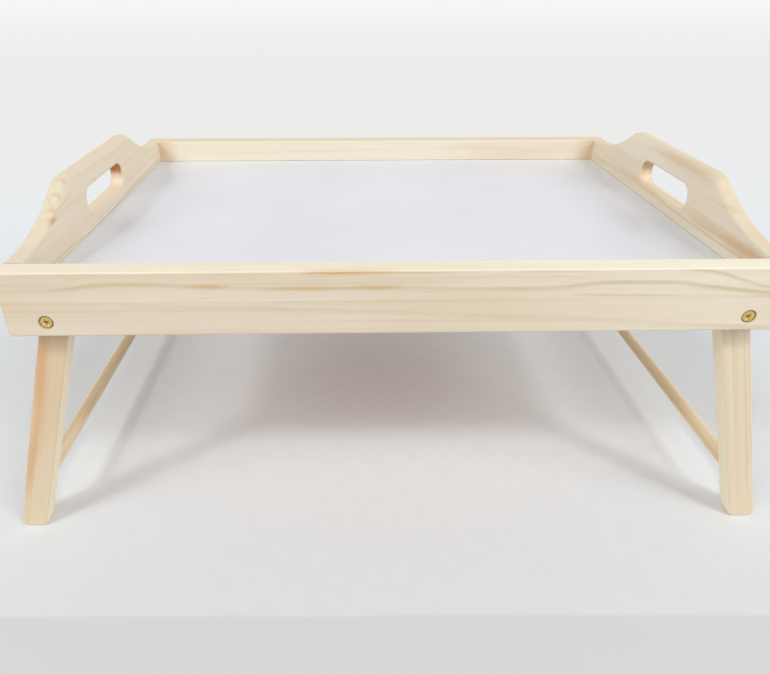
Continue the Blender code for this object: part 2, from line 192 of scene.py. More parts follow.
class TRAY_PG_stage(PropertyGroup):
    """Floor, lamps and background."""

    floor: colour("Floor", "Paper round the tray", 224, 228, 231)
    middle: colour("Middle of floor", "Paper a step behind the tray", 226, 226, 225)
    front: colour("Front of floor", "Sheet nearest the camera", 209, 210, 212)
    far: colour("Far floor", "Paper far behind the tray, and the background", 236, 236, 235)
    left_wall: brightness("Left wall", "Broad light from the left", 1.10)
    right_wall: brightness("Right wall", "Broad light from the right", 1.45)
    back_wall: brightness("Back wall", "Broad light from behind the tray", 1.00)
    front_wall: brightness("Front wall", "Broad light from the side of the camera", 0.05)
    ceiling: brightness("Ceiling", "Light from straight above", 0.42)
    left_lamp: brightness("Left lamp", "Lamp at the left", 0.49)
    right_lamp: brightness("Right lamp", "Lamp at the right", 0.48)
    left_fill: brightness("Left fill", "Softer lamp lower down at the left", 0.98)
    right_fill: brightness("Right fill", "Softer lamp lower down at the right", 1.06)
    blur: angle("Lamp width", "Width of the lamps as seen from the tray", 7.5)
    fill_blur: angle("Fill width", "Width of the softer lamps as seen from the tray", 30.0)


class TRAY_PG_looks(PropertyGroup):
    """Everything that can be set on the tray's looks."""

    frame_wood: PointerProperty(type=TRAY_PG_frame_wood)
    leg_wood: PointerProperty(type=TRAY_PG_leg_wood)
    bar_wood: PointerProperty(type=TRAY_PG_bar_wood)
    panel: PointerProperty(type=TRAY_PG_panel)
    screws: PointerProperty(type=TRAY_PG_screws)
    stage: PointerProperty(type=TRAY_PG_stage)


# Shader building

class Graph:
    """Adds nodes to one node tree and links them, so that a shader reads as a list of steps."""

    def __init__(self, tree):
        self.tree = tree
        self.tree.nodes.clear()
        self.output = None

    def add(self, kind, *inputs, named=None, **settings):
        """Add a node, set its properties, and feed its sockets in order and by name."""
        node = self.tree.nodes.new(kind)
        for key, value in settings.items():
            setattr(node, key, value)
        for index, value in enumerate(inputs):
            self.feed(node.inputs[index], value)
        for key, value in (named or {}).items():
            self.feed(node.inputs[key], value)
        return node

    def feed(self, socket, value):
        """Link a socket to another, or set its value."""
        if value is None:
            return
        if isinstance(value, bpy.types.NodeSocket):
            self.tree.links.new(value, socket)
        elif socket.type == "RGBA" and len(value) == 3:
            socket.default_value = (*value, 1.0)
        else:
            socket.default_value = value

    def math(self, operation, *values):
        """One math node."""
        return self.add("ShaderNodeMath", *values, operation=operation).outputs[0]

    def times(self, first, *values):
        """The product of two or more values."""
        for value in values:
            first = self.math("MULTIPLY", first, value)
        return first

    def radius(self, x, y):
        """The distance of a place from the axis that x and y are measured from."""
        return self.math("SQRT", self.math("MULTIPLY_ADD", x, x, self.math("MULTIPLY", y, y)))

    def vector(self, operation, *values):
        """One vector math node."""
        node = self.add("ShaderNodeVectorMath", *values, operation=operation)
        return node.outputs["Value" if operation in {"LENGTH", "DOT_PRODUCT", "DISTANCE"} else "Vector"]

    def split(self, vector):
        """The X, Y and Z of a vector."""
        return self.add("ShaderNodeSeparateXYZ", vector).outputs

    def join(self, x, y, z):
        """A vector from its X, Y and Z."""
        return self.add("ShaderNodeCombineXYZ", x, y, z).outputs[0]

    def ramp(self, value, low, high, out_low=0.0, out_high=1.0, smooth=True):
        """Map a value from one range to another, clamped."""
        node = self.add(
            "ShaderNodeMapRange", value, low, high, out_low, out_high,
            interpolation_type="SMOOTHSTEP" if smooth else "LINEAR",
        )
        return node.outputs[0]

    def noise(self, vector, stretch=(1, 1, 1), detail=2.0, roughness=0.5):
        """A noise value around 0.5, its grains stretched by the scale along each axis."""
        named = {"Vector": self.vector("MULTIPLY", vector, stretch), "Scale": 1.0, "Detail": detail,
                 "Roughness": roughness}
        return self.add("ShaderNodeTexNoise", named=named).outputs[0]

    def mix(self, amount, first, second):
        """Blend two colours."""
        node = self.add("ShaderNodeMix", data_type="RGBA", clamp_factor=True)
        self.feed(node.inputs[0], amount)
        self.feed(node.inputs[6], first)
        self.feed(node.inputs[7], second)
        return node.outputs[2]

    def blend(self, amount, first, second):
        """Blend two values."""
        return self.add("ShaderNodeMix", amount, None, first, second).outputs[0]

    def use(self, group, **named):
        """Place a node group, its inputs given by name with underscores for spaces."""
        node = self.add("ShaderNodeGroup", node_tree=group)
        for key, value in named.items():
            self.feed(node.inputs[key.replace("_", " ")], value)
        return node.outputs

    def curve(self, value, points):
        """A smooth curve through points given as (share along, share up)."""
        node = self.add("ShaderNodeFloatCurve", 1.0, value)
        line = node.mapping.curves[0]
        line.points[0].location = points[0]
        line.points[1].location = points[-1]
        for point in points[1:-1]:
            line.points.new(*point)
        node.mapping.update()
        return node.outputs[0]


SOCKETS = {"value": "NodeSocketFloat", "vector": "NodeSocketVector", "colour": "NodeSocketColor"}


def shader_group(name, inputs, outputs, fill):
    """The shader node group of that name, made and filled the first time it is asked for."""
    group = bpy.data.node_groups.get(name)
    if group is not None:
        return group
    group = bpy.data.node_groups.new(name, "ShaderNodeTree")
    graph = Graph(group)
    for title, kind in inputs.items():
        group.interface.new_socket(title, in_out="INPUT", socket_type=SOCKETS[kind])
    for title, kind in outputs.items():
        group.interface.new_socket(title, in_out="OUTPUT", socket_type=SOCKETS[kind])
    source = graph.add("NodeGroupInput").outputs
    result = graph.add("NodeGroupOutput")
    for title, value in fill(graph, source).items():
        graph.feed(result.inputs[title], value)
    return group


def seeded(g, source):
    """A place in the plank, shifted by its seed so that no two planks are alike."""
    shift = g.join(source["Seed"], source["Seed"], source["Seed"])
    return g.vector("ADD", source["Place"], shift)


def fibre_group():
    """Fine fibres along the plank, long thin threads and the short dark resin ducts between them."""
    def fill(g, source):
        place = seeded(g, source)
        broad = g.noise(place, (9, 300, 300), detail=3.0)
        fine = g.noise(place, (45, 1700, 1700), detail=3.0, roughness=0.6)
        ducts = g.ramp(g.noise(place, (110, 2600, 2600), detail=0.0), 0.74, 0.84)
        threads = g.ramp(g.noise(place, (2.0, 330, 90), detail=1.0), 0.585, 0.66)
        shade = g.math("ADD", g.times(broad, 0.55), g.times(fine, 0.45))
        return {"Shade": shade, "Ducts": ducts, "Threads": threads, "Height": fine}
    outputs = {"Shade": "value", "Ducts": "value", "Threads": "value", "Height": "value"}
    return shader_group("Wood fibres", {"Place": "vector", "Seed": "value"}, outputs, fill)


def ring_group():
    """Growth rings round a pith that runs nearly along the plank."""
    def fill(g, source):
        place = seeded(g, source)
        broad = g.noise(place, (3.2, 11, 11))
        small = g.noise(place, (16, 70, 70))
        bend = g.math("MULTIPLY_ADD", g.math("SUBTRACT", broad, 0.5), 20 * MM,
                      g.times(g.math("SUBTRACT", small, 0.5), 2.6 * MM))
        _, y, z = g.split(g.vector("SUBTRACT", source["Place"], source["Pith"]))
        plain = g.math("DIVIDE", g.math("ADD", g.radius(y, z), bend), source["Spacing"])
        along = {"W": g.math("ADD", plain, source["Seed"]), "Scale": 0.45, "Detail": 1.0}
        uneven = g.add("ShaderNodeTexNoise", noise_dimensions="1D", named=along).outputs[0]
        phase = g.math("MULTIPLY_ADD", uneven, 1.5, plain)
        part, number = g.math("FRACT", phase), g.math("FLOOR", phase)
        line = g.times(g.ramp(part, 0.30, 0.88), g.ramp(part, 0.88, 1.0, 1.0, 0.0))
        ring = {"W": g.math("ADD", number, source["Seed"])}
        strength = g.add("ShaderNodeTexWhiteNoise", noise_dimensions="1D", named=ring).outputs[0]
        strength = g.ramp(strength, 0.0, 1.0, 0.30, 1.0, smooth=False)
        own = g.vector("ADD", place, g.join(g.times(number, 0.37), 0.0, 0.0))
        fading = g.ramp(g.noise(own, (6, 22, 22)), 0.34, 0.62, 0.35, 1.0)
        return {"Late wood": g.times(line, strength, fading)}
    return shader_group("Growth rings",
                        {"Place": "vector", "Pith": "vector", "Spacing": "value", "Seed": "value"},
                        {"Late wood": "value"}, fill)


def cut_group():
    """How the surface cuts the wood: across its grain, and at a sanded edge."""
    def fill(g, source):
        x, y, z = g.split(g.vector("ABSOLUTE", source["Facing"]))
        most = g.math("MAXIMUM", g.math("MAXIMUM", x, y), z)
        return {"End grain": g.ramp(x, 0.45, 0.95), "Edge": g.ramp(most, 0.99, 0.80)}
    outputs = {"End grain": "value", "Edge": "value"}
    return shader_group("Cut of the wood", {"Facing": "vector"}, outputs, fill)


def line_group():
    """One broad dark line of late wood, soft on one side, from the distance to its middle."""
    def fill(g, source):
        across = g.math("DIVIDE", source["Distance"], source["Width"])
        body = g.times(g.ramp(across, -1.3, 0.0), g.ramp(across, 0.0, 0.75, 1.0, 0.0))
        patchy = g.ramp(g.noise(seeded(g, source), (14, 60, 60)), 0.32, 0.60, 0.45, 1.0)
        return {"Mask": g.times(body, patchy)}
    return shader_group("Grain line",
                        {"Distance": "value", "Width": "value", "Place": "vector", "Seed": "value"},
                        {"Mask": "value"}, fill)


def streak_group():
    """A lens of resin or heart wood round a middle, with frayed ends."""
    def fill(g, source):
        away = g.vector("DIVIDE", g.vector("SUBTRACT", source["Place"], source["Middle"]), source["Reach"])
        ragged = g.math("SUBTRACT", g.noise(seeded(g, source), (18, 500, 500), detail=3.0), 0.5)
        wander = g.math("SUBTRACT", g.noise(seeded(g, source), (20, 70, 70)), 0.5)
        reach = g.math("MULTIPLY_ADD", ragged, 0.8, g.vector("LENGTH", away))
        reach = g.math("MULTIPLY_ADD", wander, 0.9, reach)
        return {"Mask": g.ramp(reach, 0.15, 1.0, 1.0, 0.0)}
    return shader_group("Resin streak",
                        {"Place": "vector", "Middle": "vector", "Reach": "vector", "Seed": "value"},
                        {"Mask": "value"}, fill)


def pine_group():
    """Solid pine: warm patches, rings, fibres, ducts, end grain and sanded edges."""
    def fill(g, source):
        place, seed = source["Place"], source["Seed"]
        rings = g.use(ring_group(), Place=place, Pith=source["Pith"], Spacing=source["Spacing"], Seed=seed)
        fibres = g.use(fibre_group(), Place=place, Seed=seed)
        cut = g.use(cut_group(), Facing=source["Facing"])
        patches = g.noise(seeded(g, source), (4, 26, 26))
        made = g.mix(g.ramp(patches, 0.32, 0.68), source["Pale"], source["Warm"])
        stronger = g.math("MULTIPLY_ADD", cut["End grain"], 0.5, 1.0)
        showing = g.times(rings["Late wood"], source["Rings"], stronger)
        shade = g.times(g.ramp(fibres["Shade"], 0.36, 0.66), source["Fibres"], 0.32)
        threads = g.times(fibres["Threads"], source["Fibres"], 0.55)
        for mask, tone in (
            (showing, "Late"), (shade, "Late"), (threads, "Late"), (g.times(fibres["Ducts"], 0.35), "End"),
            (g.times(cut["End grain"], 0.45), "End"), (g.times(cut["Edge"], 0.35), "Pale"),
        ):
            made = g.mix(mask, made, source[tone])
        rough = g.math("MULTIPLY_ADD", cut["Edge"], -0.06, g.ramp(fibres["Shade"], 0.3, 0.7, 0.48, 0.62))
        height = g.math("MULTIPLY_ADD", rings["Late wood"], 0.5, fibres["Height"])
        height = g.math("SUBTRACT", height, g.times(fibres["Ducts"], 0.4))
        return {"Colour": made, "Roughness": rough, "Height": height}
    inputs = {"Place": "vector", "Facing": "vector", "Pith": "vector", "Spacing": "value", "Rings": "value",
              "Fibres": "value", "Seed": "value", "Pale": "colour", "Warm": "colour", "Late": "colour",
              "End": "colour"}
    return shader_group("Pine", inputs, {"Colour": "colour", "Roughness": "value", "Height": "value"}, fill)


def material(name):
    """A new material; returns it, its graph and its Principled shader."""
    made = bpy.data.materials.new(name)
    made.use_nodes = True
    graph = Graph(made.node_tree)
    shader = graph.add("ShaderNodeBsdfPrincipled")
    graph.output = graph.add("ShaderNodeOutputMaterial", shader.outputs[0])
    return made, graph, shader


def surface(g, shader, tone, roughness, height=None, strength=0.0, depth=0.0):
    """Feed a shader its colour and roughness, and its relief with its strength and its depth in mm."""
    g.feed(shader.inputs["Base Color"], tone)
    g.feed(shader.inputs["Roughness"], roughness)
    if height is not None:
        named = {"Strength": strength, "Distance": depth * MM, "Height": height}
        g.feed(shader.inputs["Normal"], g.add("ShaderNodeBump", named=named).outputs[0])


def metres(millimetres):
    """A place or reach in metres, from its millimetres."""
    return tuple(value * MM for value in millimetres)


def turned(g, vector, axes):
    """A vector of the whole tray, turned into the plank's own directions."""
    return g.join(*(g.vector("DOT_PRODUCT", vector, tuple(axis)) for axis in axes))


# Mm between the end points of a grain line and the places where it begins to show and shows in full
LINE_PAST = 1.0
LINE_FADE = 22.0


def grain_line(g, place, seed, face, line, tone, painted):
    """Draw one broad line of late wood along its points, which lie on one face of the plank."""
    points, width, lean, strength = line
    x, y, z = g.split(place)
    start, end = points[0][0], points[-1][0]
    margin = 1.0
    low, high = min(p[1] for p in points) - margin, max(p[1] for p in points) + margin
    along = g.ramp(x, start * MM, end * MM, smooth=False)
    shape = [((px - start) / (end - start), (py - low) / (high - low)) for px, py in points]
    middle = g.math("MULTIPLY_ADD", g.curve(along, shape), (high - low) * MM, low * MM)
    behind = g.math("SUBTRACT", z, face * MM)
    distance = g.math("SUBTRACT", g.math("MULTIPLY_ADD", behind, -lean, y), middle)
    mask = g.use(line_group(), Distance=distance, Width=width * MM, Place=place, Seed=seed)["Mask"]
    begins = g.ramp(x, (start - LINE_PAST) * MM, (start + LINE_FADE) * MM)
    ends = g.ramp(x, (end - LINE_FADE) * MM, (end + LINE_PAST) * MM, 1.0, 0.0)
    return g.mix(g.times(mask, begins, ends, strength), painted, tone)


def resin_streak(g, place, seed, streak, tone, painted):
    """Tint one streak of resin or heart wood."""
    middle, reach, strength = streak
    mask = g.use(streak_group(), Place=place, Middle=metres(middle), Reach=metres(reach), Seed=seed)["Mask"]
    return g.mix(g.times(mask, strength), painted, tone)


def wood(name, node, axes, tones, pith, seed, lines=(), streaks=(), face=0.0, sap=None, extra=None):
    """Pine for one piece: solid wood in its own directions, with the lines and streaks it shows.

    A line is (points, width, lean, strength): its points (x, y) in mm from the piece's middle, on the
    face at `face` mm along the plank's Z, its width in mm, and how far it shifts up for each mm along
    that Z. A streak is (middle, reach, strength), the first two in mm. Sap is (start, end, share):
    where along the plank, in mm, it turns into pale sap wood, and how far. Extra is a function that
    paints what only this piece has.
    """
    made, g, shader = material(name)
    spot = g.add("ShaderNodeTexCoord").outputs
    place = turned(g, g.vector("SUBTRACT", spot["Object"], tuple(box_centre(node))), axes)
    facing = turned(g, spot["Normal"], axes)
    body = g.use(pine_group(), Place=place, Facing=facing, Pith=metres(pith), Seed=seed,
                 Spacing=tones.spacing, Rings=tones.rings, Fibres=tones.fibres,
                 Pale=tones.pale, Warm=tones.warm, Late=tones.late, End=tones.end)
    painted = body["Colour"]
    if sap is not None:
        start, end, most = sap
        painted = g.mix(g.ramp(g.split(place)[0], start * MM, end * MM, 0.0, most), painted, tones.sap)
    for index, line in enumerate(lines):
        painted = grain_line(g, place, seed + index, face, line, tones.line, painted)
    for index, streak in enumerate(streaks):
        painted = resin_streak(g, place, seed + 0.3 * index, streak, tones.resin, painted)
    if extra is not None:
        painted = extra(g, place, facing, painted)
    surface(g, shader, painted, body["Roughness"], body["Height"], 0.3, 0.15)
    return made


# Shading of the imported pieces

WELD_DISTANCE = 0.01 * MM
SMOOTH_BELOW = math.radians(35.0)


def soft_shading_group():
    """Geometry nodes that weld a faceted piece and shade its round-overs smooth."""
    name = "Soft shading"
    group = bpy.data.node_groups.get(name)
    if group is not None:
        return group
    group = bpy.data.node_groups.new(name, "GeometryNodeTree")
    group.interface.new_socket("Geometry", in_out="INPUT", socket_type="NodeSocketGeometry")
    group.interface.new_socket("Geometry", in_out="OUTPUT", socket_type="NodeSocketGeometry")
    nodes, links = group.nodes, group.links
    source = nodes.new("NodeGroupInput")
    weld = nodes.new("GeometryNodeMergeByDistance")
    weld.inputs["Distance"].default_value = WELD_DISTANCE
    drop = nodes.new("GeometryNodeRemoveAttribute")
    drop.inputs["Name"].default_value = "custom_normal"
    faces = nodes.new("GeometryNodeSetShadeSmooth")
    edges = nodes.new("GeometryNodeSetShadeSmooth")
    edges.domain = "EDGE"
    fold = nodes.new("GeometryNodeInputMeshEdgeAngle")
    flat = nodes.new("FunctionNodeCompare")
    flat.operation = "LESS_THAN"
    flat.inputs[1].default_value = SMOOTH_BELOW
    result = nodes.new("NodeGroupOutput")
    links.new(source.outputs[0], weld.inputs[0])
    links.new(weld.outputs[0], drop.inputs[0])
    links.new(drop.outputs[0], faces.inputs[0])
    links.new(faces.outputs[0], edges.inputs[0])
    links.new(fold.outputs["Unsigned Angle"], flat.inputs[0])
    links.new(flat.outputs[0], edges.inputs["Shade Smooth"])
    links.new(edges.outputs[0], result.inputs[0])
    return group


def dress(node, made):
    """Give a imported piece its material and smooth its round-overs."""
    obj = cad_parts[node]
    obj.data.materials.clear()
    obj.data.materials.append(made)
    soften = obj.modifiers.new("Soft shading", "NODES")
    soften.node_group = soft_shading_group()
    weigh = obj.modifiers.new("Weighted normals", "WEIGHTED_NORMAL")
    weigh.keep_sharp = True


# Pieces

# A plank that is sap wood all over has it from before its own start
ALL_OVER = (-400, -300)


def rail_line(points):
    """Points (x, depth below the rail's top) in mm, turned into heights from the rail's middle."""
    return [(x, RAIL_HALF_HEIGHT - depth) for x, depth in points]


# Lines and streaks as `wood` takes them
FRONT_RAIL_LINES = (
    (rail_line([(-276, 12.5), (-214, 11.5), (-176, 8), (-126, 9.9), (-64, 11.7), (-14, 11.5),
                (49, 12.7), (96, 12.2), (112, 10.4), (137, 9.0), (165, 9.2), (186, 11.5), (206, 14),
                (231, 17), (276, 20)]), 2.5, 0.5, 0.85),
    (rail_line([(-276, 20.2), (-157, 23), (-1, 29.2), (111, 34.4), (174, 39), (252, 43)]), 3.4, 0.7, 0.50),
    (rail_line([(164, -2.0), (178.6, 0.6), (193, 2.2), (214, 8.3), (231, 13.0), (276, 17)]), 2.0, 0.3, 0.8),
    (rail_line([(100, 17), (124, 17.6), (231, 19.5), (262, 20)]), 1.7, 0.4, 0.6),
    (rail_line([(-30, 1.4), (0, 1.2), (40, 1.6)]), 1.2, 0.6, 0.7),
    (rail_line([(62, 1.6), (95, 1.0), (125, 1.5)]), 1.2, 0.6, 0.6),
)
FRONT_RAIL_STREAKS = (
    ((-33, RAIL_HALF_HEIGHT, 6.0), (46, 6.0, 4.2), 0.36),
    ((-34, RAIL_HALF_HEIGHT, 7.2), (38, 3.0, 2.8), 0.95),
    ((-118, 12.2, 7.5), (18, 2.8, 5), 0.50),
    ((-60, 10.8, 7.5), (34, 2.6, 5), 0.42),
    ((-14, 10.8, 7.5), (26, 2.4, 5), 0.40),
)


def countersink_shade(g, place, tone, painted):
    """Paint shade in a ring round the screws of a rail, where the countersink's rim lies in shadow; the
    screws stand alike in both rails.
    """
    for side in SIDES:
        screw = box_centre(f"{side}_front_pivot_screw") - box_centre("front_rail")
        x, y, _ = g.split(g.vector("SUBTRACT", place, (screw.x, screw.z, 0.0)))
        painted = g.mix(g.ramp(g.radius(x, y), 5.3 * MM, 4.5 * MM, 0.0, 0.8), painted, tone)
    return painted


def top_light_and_shade(g, facing, tone, most, painted):
    """Mix another tone into the narrow edges that face up: painted light where the tone is paler, painted
    shade where it is darker.
    """
    _, up, _ = g.split(facing)
    return g.mix(g.ramp(up, 0.3, 0.9, 0.0, most), painted, tone)


class TRAY_OT_rails(Operator):
    """Dress the front and back rails in pale pine with a few soft grain lines"""

    bl_idname = "tray.rails"
    bl_label = "Rails"

    def execute(self, context):
        tones = context.scene.tray_looks.frame_wood

        def front_extra(g, place, facing, painted):
            # Painted light: the rail's top is mixed towards the pale sap tone so that it looks more
            # brightly lit than its face.
            painted = top_light_and_shade(g, facing, tones.sap, 0.5, painted)
            # Painted shade in a ring round each screw.
            return countersink_shade(g, place, tones.end, painted)

        dress("front_rail", wood("front_rail_pine", "front_rail", RAIL_AXES, tones, (0, -42, -48), 3.1,
                                 FRONT_RAIL_LINES, FRONT_RAIL_STREAKS, RAIL_FACE, (-20, 200, 0.42),
                                 front_extra))

        def back_extra(g, place, facing, painted):
            # Painted shade: the inner face turns towards the resin tone near both ends, where the end
            # boards cast their shadow into the corners.
            from_middle = g.math("ABSOLUTE", g.split(place)[0])
            corner = g.ramp(from_middle, 214 * MM, 238 * MM, 0.0, 0.5)
            inside = g.ramp(g.split(facing)[2], 0.5, 0.9)
            painted = g.mix(g.times(corner, inside), painted, tones.resin)
            # Painted shade: the rail's top is mixed towards the late-wood tone so that it looks darker.
            painted = top_light_and_shade(g, facing, tones.late, 0.6, painted)
            # Painted shade in a ring round each screw.
            return countersink_shade(g, place, tones.end, painted)

        back_lines = (
            (rail_line([(-276, 34), (-120, 31), (40, 29), (160, 32), (276, 36)]), 2.4, 0.5, 0.3),
            (rail_line([(-276, 14), (-60, 11), (90, 8), (276, 11)]), 2.0, 0.4, 0.15),
        )
        back_streaks = (((165, 7, 7.5), (105, 20, 12), 0.26),)
        dress("back_rail", wood("back_rail_pine", "back_rail", RAIL_AXES, tones, (0, -60, 36), 5.7,
                                back_lines, back_streaks, RAIL_FACE, (*ALL_OVER, 0.7), back_extra))
        return {"FINISHED"}


def slot_end_burn_and_shade(g, place, facing, tone, most, painted):
    """Darken the ends of the hand slot, most of all under its upper corner at the back: partly a router
    burn, partly painted shade where the slot's ends lie in shadow.
    """
    patchy = g.ramp(g.noise(place, (120, 160, 500), detail=3.0), 0.30, 0.62, 0.7, 1.0)
    back_corner = ((-0.80, -0.60, 0.0), (17.0, 27.0), 1.0)
    front_end = ((0.97, -0.24, 0.0), (-28.0, -38.0), 0.35)
    for towards, where, strength in (back_corner, front_end):
        turned_there = g.ramp(g.vector("DOT_PRODUCT", facing, towards), 0.62, 0.96)
        near = g.ramp(g.split(place)[0], *metres(where))
        painted = g.mix(g.times(turned_there, near, patchy, strength * most), painted, tone)
    return painted


def ramp_rings(g, place, facing, tone, painted):
    """Rings that the front ramp of the left board cuts slantwise, seen as three scallops."""
    # Where the first ring begins, counted forwards from the board's middle, and the three rings' length
    first, spacing, whole = 63.0 * MM, 13.0 * MM, 39.0 * MM
    x, _, z = g.split(place)
    _, up, _ = g.split(facing)
    from_crest = g.math("DIVIDE", g.math("SUBTRACT", z, 2.0 * MM), 7.0 * MM)
    bow = g.times(g.math("POWER", from_crest, 2.0), 4.5 * MM)
    along = g.math("SUBTRACT", g.math("SUBTRACT", g.times(x, -1.0), bow), first)
    turn = g.math("FRACT", g.math("DIVIDE", along, spacing))
    line = g.times(g.ramp(turn, 0.55, 0.92), g.ramp(turn, 0.92, 1.0, 1.0, 0.0))
    begins = g.ramp(along, -2.0 * MM, 1.0 * MM)
    ends = g.ramp(along, whole - 1.0 * MM, whole + 2.0 * MM, 1.0, 0.0)
    on_ramp = g.times(g.ramp(up, 0.25, 0.55), g.ramp(z, -4.0 * MM, 1.0 * MM))
    return g.mix(g.times(line, begins, ends, on_ramp, 0.75), painted, tone)


class TRAY_OT_end_boards(Operator):
    """Dress the two end boards with their handles in pine, its rings running along them"""

    bl_idname = "tray.end_boards"
    bl_label = "End boards"

    def execute(self, context):
        tones = context.scene.tray_looks.frame_wood

        def left_extra(g, place, facing, painted):
            painted = ramp_rings(g, place, facing, tones.late, painted)
            # Painted shade: the faces that look up are mixed towards the grain-line tone so that they look
            # darker.
            painted = top_light_and_shade(g, facing, tones.line, 0.30, painted)
            # The slot's ends get a router burn and painted shade.
            return slot_end_burn_and_shade(g, place, facing, tones.burn, 1.0, painted)

        def right_extra(g, place, facing, painted):
            # Painted shade: the faces that look up are mixed towards the grain-line tone so that they look
            # darker.
            painted = top_light_and_shade(g, facing, tones.line, 0.30, painted)
            # The slot's ends are darkened towards the end-grain tone: end grain, and painted shade.
            return slot_end_burn_and_shade(g, place, facing, tones.end, 0.8, painted)

        left_lines = (
            ([(-162, -9.0), (-90, -10.5), (-30, -13.4), (60, -11.0), (162, -10.0)], 1.6, -0.6, 0.75),
            ([(-162, 13), (-130, 16.7), (-79, 22.9), (-60, 26)], 1.6, -0.6, 0.6),
        )
        left_streaks = (((-108, 16.5, 6), (11, 3.6, 5), 0.95),)
        dress("left_end_board", wood("left_board_pine", "left_end_board", BOARD_AXES, tones,
                                     (0, -95, 26), 7.7, left_lines, left_streaks, BOARD_FACE,
                                     (*ALL_OVER, 0.12), left_extra))
        right_lines = (
            ([(-162, -3.5), (-132, -5.2), (-60, -6.0), (35, -4.9), (162, -9.7)], 1.5, 0.6, 0.8),
            ([(-115, 17.5), (-104, 20.5), (-92, 22.5)], 1.6, 0.6, 0.7),
        )
        right_streaks = (
            ((-118, 0.5, -6), (84, 8.0, 5), 0.72),
            ((-20, 33, -6), (76, 7, 6), 0.42),
            ((-106, 20.5, -4), (14, 3.2, 6), 0.45),
            ((40, -2, -6), (66, 4, 5), 0.38),
        )
        dress("right_end_board", wood("right_board_pine", "right_end_board", BOARD_AXES, tones,
                                      (0, -88, -30), 12.4, right_lines, right_streaks, -BOARD_FACE,
                                      (*ALL_OVER, 0.2), right_extra))
        return {"FINISHED"}


class TRAY_OT_glue_lines(Operator):
    """Fill the four corner joints with the thin line of dried glue that shows between rail and board"""

    bl_idname = "tray.glue_lines"
    bl_label = "Glue lines"

    def execute(self, context):
        tones = context.scene.tray_looks.frame_wood
        made, g, shader = material("dried_glue")
        place = g.add("ShaderNodeTexCoord").outputs["Object"]
        cloud = g.ramp(g.noise(place, (300, 300, 300), detail=2.0), 0.35, 0.65)
        surface(g, shader, g.mix(cloud, tones.warm, tones.late), g.ramp(cloud, 0.0, 1.0, 0.35, 0.5))
        for side in SIDES:
            for end, towards in ENDS.items():
                board_low, board_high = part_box(f"{side}_end_board")
                rail_low, rail_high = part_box(f"{end}_rail")
                inner = rail_low.y if towards > 0 else rail_high.y
                outer = board_high.y if towards > 0 else board_low.y
                near, away = sorted((inner, outer))
                inset = 0.5 * MM
                low = Vector((board_low.x + inset, near, board_low.z + inset))
                high = Vector((board_high.x - inset, away, rail_high.z - inset))
                model = bmesh.new()
                bmesh.ops.create_cube(model, size=1.0)
                bmesh.ops.scale(model, vec=high - low, verts=model.verts)
                bmesh.ops.translate(model, vec=(low + high) / 2, verts=model.verts)
                mesh = bpy.data.meshes.new(f"{side}_{end}_glue_line")
                model.to_mesh(mesh)
                model.free()
                mesh.materials.append(made)
                piece = bpy.data.objects.new(mesh.name, mesh)
                context.scene.collection.objects.link(piece)
                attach(piece, "tray")
        return {"FINISHED"}


class TRAY_OT_panel(Operator):
    """Give the serving panel its white facing above and bare hardboard below"""

    bl_idname = "tray.panel"
    bl_label = "Serving panel"

    def execute(self, context):
        tones = context.scene.tray_looks.panel
        made, g, shader = material("white_facing_on_hardboard")
        spot = g.add("ShaderNodeTexCoord").outputs
        place = spot["Object"]
        _, _, up = g.split(spot["Normal"])
        faced = g.ramp(up, 0.4, 0.6)
        clouds = g.ramp(g.noise(place, (9, 9, 9), detail=3.0), 0.35, 0.65)
        white = g.mix(clouds, tones.white, tones.mottle)
        pressed = g.noise(place, (260, 260, 260), detail=4.0, roughness=0.65)
        chips = g.noise(place, (900, 240, 900), detail=3.0)
        bare = g.mix(g.ramp(pressed, 0.35, 0.68, 0.0, 0.6), tones.board, tones.fleck)
        bare = g.mix(g.ramp(chips, 0.58, 0.72, 0.0, 0.5), bare, tones.fleck)
        facing_rough = g.math("MULTIPLY_ADD", clouds, 0.03, tones.roughness)
        rough = g.math("ADD", facing_rough, g.ramp(up, 0.4, 0.6, 0.5, 0.0))
        waves = g.times(g.noise(place, (70, 70, 70), detail=1.0), 2.0)
        height = g.blend(faced, pressed, waves)
        surface(g, shader, g.mix(faced, bare, white), rough, height, 0.35, 0.2)
        dress("serving_panel", made)
        return {"FINISHED"}


LEG_STREAKS = {
    ("left", "front"): (
        ((-52, -6.0, 5), (80, 8.0, 9), 0.85),
        ((36, -7.5, 5), (62, 7.5, 8), 0.90),
        ((-10, -4.0, 5), (60, 7.0, 8), 0.55),
    ),
    ("left", "back"): (((10, 5.5, 5), (90, 4.0, 9), 0.5),),
    ("right", "front"): (((10, 4.0, 6), (120, 2.0, 6), 0.12),),
    ("right", "back"): (((-30, -4.5, 5), (70, 3.5, 9), 0.45),),
}


